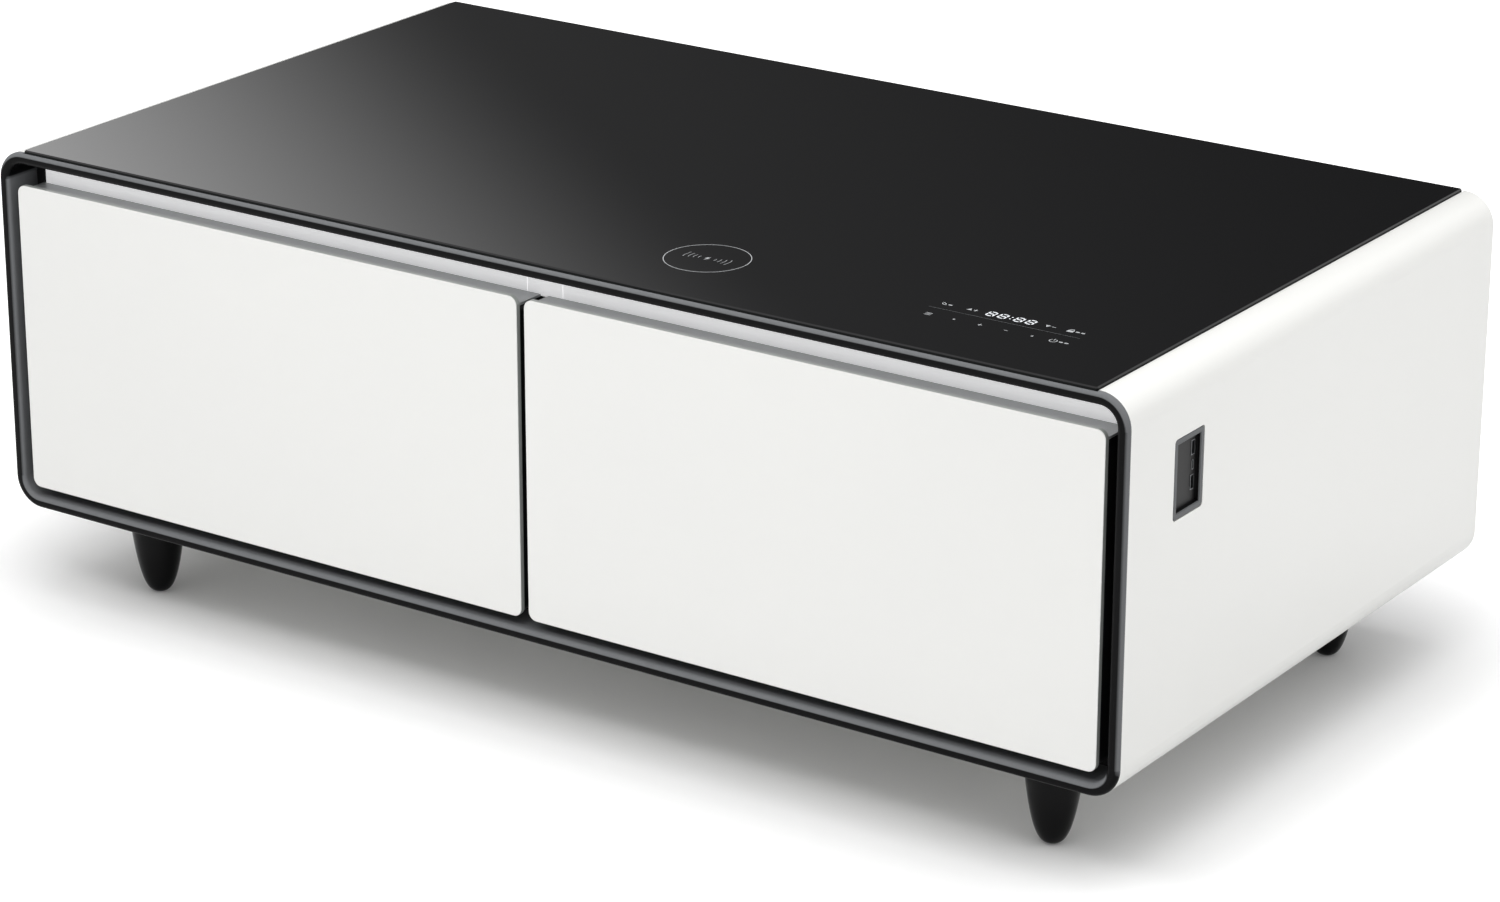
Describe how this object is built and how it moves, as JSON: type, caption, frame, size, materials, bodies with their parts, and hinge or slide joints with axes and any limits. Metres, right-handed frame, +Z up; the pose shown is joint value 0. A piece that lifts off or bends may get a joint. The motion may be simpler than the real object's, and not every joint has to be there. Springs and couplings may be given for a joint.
{
  "type": "refrigerator coffee table",
  "caption": "Low coffee table with a black glass top, a rounded white body on tapered feet and refrigerated drawers on telescopic runners.",
  "frame": {"origin": "middle of the floor under the table, at the height of the foot tips", "axes": "+X to the right seen from the front, +Y to the back, +Z up; the drawer fronts face -Y"},
  "size_m": [1.3, 0.705, 0.48],
  "materials": {
    "white_enamel": "gloss",
    "zinc_sheet": "satin",
    "mark_ink": "satin",
    "black_glass": "gloss",
    "bonding_tape": "matte",
    "bezel_black": "satin",
    "frame_black": "satin",
    "bright_strip": "satin",
    "ledge_grey": "satin",
    "white_glass": "gloss",
    "door_black": "satin",
    "foam": "matte",
    "liner_white": "satin",
    "evaporator_aluminium": "satin",
    "light_diffuser": "matte",
    "runner_steel": "satin",
    "gasket_rubber": "matte",
    "tub_clear": "gloss",
    "fastener_steel": "satin",
    "foot_black": "gloss",
    "socket_grey": "satin",
    "port_metal": "satin",
    "circuit_green": "satin",
    "tray_plastic": "matte",
    "copper": "satin",
    "panel_grey": "satin",
    "compressor_black": "satin",
    "mount_rubber": "matte",
    "fin_aluminium": "satin",
    "fan_plastic": "satin",
    "wire_black": "matte"
  },
  "bodies": {
    "cabinet": {"outer_shell": "white_enamel", "top_deck": "zinc_sheet", "glass_top": "black_glass", "glass_bonding_tape": "bonding_tape", "front_bezel": "bezel_black", "front_frame": "frame_black", "fascia_left": "bright_strip", "fascia_centre": "bright_strip", "fascia_right": "bright_strip", "insulation_foam": "foam", "machine_bulkhead": "zinc_sheet", "liner_left": "liner_white", "liner_right": "liner_white", "evaporator_plates": "evaporator_aluminium", "led_strips": "light_diffuser", "runner_outers": "runner_steel", "foot_front_left": "foot_black", "foot_front_right": "foot_black", "foot_rear_left": "foot_black", "foot_rear_right": "foot_black", "foot_studs": "fastener_steel", "foot_plates": "zinc_sheet", "socket_frame": "socket_grey", "socket_box": "frame_black", "usb_ports": "port_metal", "charging_tray": "tray_plastic", "charging_coil": "copper", "touch_board": "circuit_green", "back_panel": "panel_grey", "back_panel_screws": "fastener_steel", "power_inlet": "frame_black", "compressor_base": "zinc_sheet", "compressor_grommets": "mount_rubber", "compressor": "compressor_black", "fan_shroud": "fan_plastic", "fan_motor": "fan_plastic", "condenser": "fin_aluminium", "filter_drier": "copper", "refrigerant_pipes": "copper", "control_box": "tray_plastic", "wiring_harness": "wire_black"},
    "fan": {"fan_rotor": "fan_plastic"},
    "drawer_left": {"front_panel_left": "white_glass", "door_shell_left": "door_black", "door_foam_left": "foam", "pull_ledge_left": "ledge_grey", "gasket_left": "gasket_rubber", "tub_left": "tub_clear", "tub_screws_left": "fastener_steel", "runner_inner_left": "runner_steel"},
    "runner_left": {"runner_middle_left": "runner_steel"},
    "drawer_right": {"front_panel_right": "white_glass", "door_shell_right": "door_black", "door_foam_right": "foam", "pull_ledge_right": "ledge_grey", "gasket_right": "gasket_rubber", "tub_right": "tub_clear", "tub_screws_right": "fastener_steel", "runner_inner_right": "runner_steel"},
    "runner_right": {"runner_middle_right": "runner_steel"}
  },
  "joints": [
    {"name": "drawer_left_slide", "type": "slide", "parent": "cabinet", "child": "drawer_left", "axis": [0, -1, 0], "range_m": [0, 0.4]},
    {"name": "runner_left_slide", "type": "slide", "parent": "cabinet", "child": "runner_left", "axis": [0, -1, 0], "range_m": [0, 0.2]},
    {"name": "drawer_right_slide", "type": "slide", "parent": "cabinet", "child": "drawer_right", "axis": [0, -1, 0], "range_m": [0, 0.4]},
    {"name": "runner_right_slide", "type": "slide", "parent": "cabinet", "child": "runner_right", "axis": [0, -1, 0], "range_m": [0, 0.2]},
    {"name": "fan_spin", "type": "hinge", "parent": "cabinet", "child": "fan", "pos_m": [0.19, 0.25765, 0.183], "axis": [1, 0, 0], "continuous": true}
  ],
  "couplings": [
    {"joint": "runner_left_slide", "follows": "drawer_left_slide", "ratio": 0.5},
    {"joint": "runner_right_slide", "follows": "drawer_right_slide", "ratio": 0.5}
  ]
}
